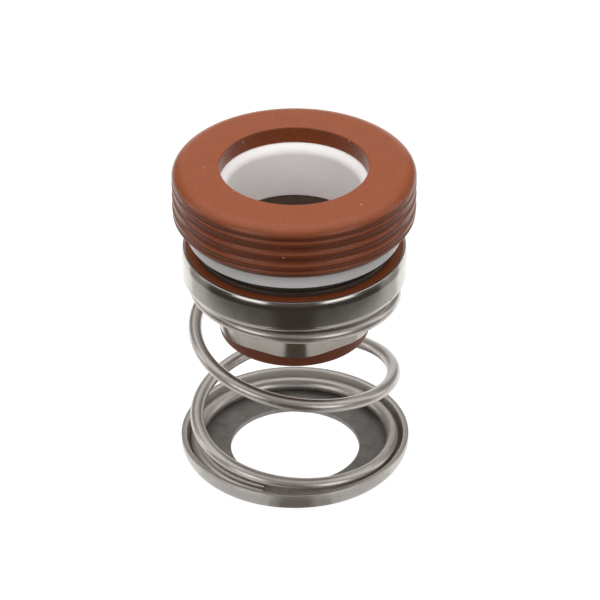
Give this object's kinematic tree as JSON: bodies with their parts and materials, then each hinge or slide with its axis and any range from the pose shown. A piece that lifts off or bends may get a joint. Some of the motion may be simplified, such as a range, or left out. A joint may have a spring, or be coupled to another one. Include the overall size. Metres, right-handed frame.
{
  "type": "shaft seal",
  "caption": "Rubber bellows pump seal on its spring holder, with head shell, carbon face ring, and a ceramic seat in a ribbed rubber cup; the spring side compresses",
  "frame": {"origin": "middle of the spring holder's flat underside, on the shaft axis", "axes": "+Z along the shaft axis from the spring holder to the seat; round apart from the neck's six flats and the spring's ends"},
  "size_m": [0.032, 0.032, 0.0451],
  "materials": {
    "pressed_steel": "bare stainless, satin",
    "spring_wire": "drawn stainless wire",
    "shell_steel": "bare stainless, bright",
    "bellows_rubber": "matt",
    "carbon": "lapped, dark satin",
    "ceramic": "fired, semi-matt",
    "cup_rubber": "matt"
  },
  "bodies": {
    "holder": {"spring_holder": "pressed_steel", "spring": "spring_wire"},
    "head": {"head_shell": "shell_steel", "bellows": "bellows_rubber", "face_ring": "carbon"},
    "seat": {"seat_ring": "ceramic", "seat_cup": "cup_rubber"}
  },
  "joints": [
    {"name": "spring_compression", "type": "slide", "parent": "holder", "child": "head", "axis": [0, 0, 1], "range_m": [-0.018, 0], "stiffness_N_per_m": 2200, "deforming": ["spring"]},
    {"name": "seat_rotation", "type": "hinge", "parent": "head", "child": "seat", "pos_m": [0, 0, 0.0351], "axis": [0, 0, 1], "continuous": true}
  ]
}
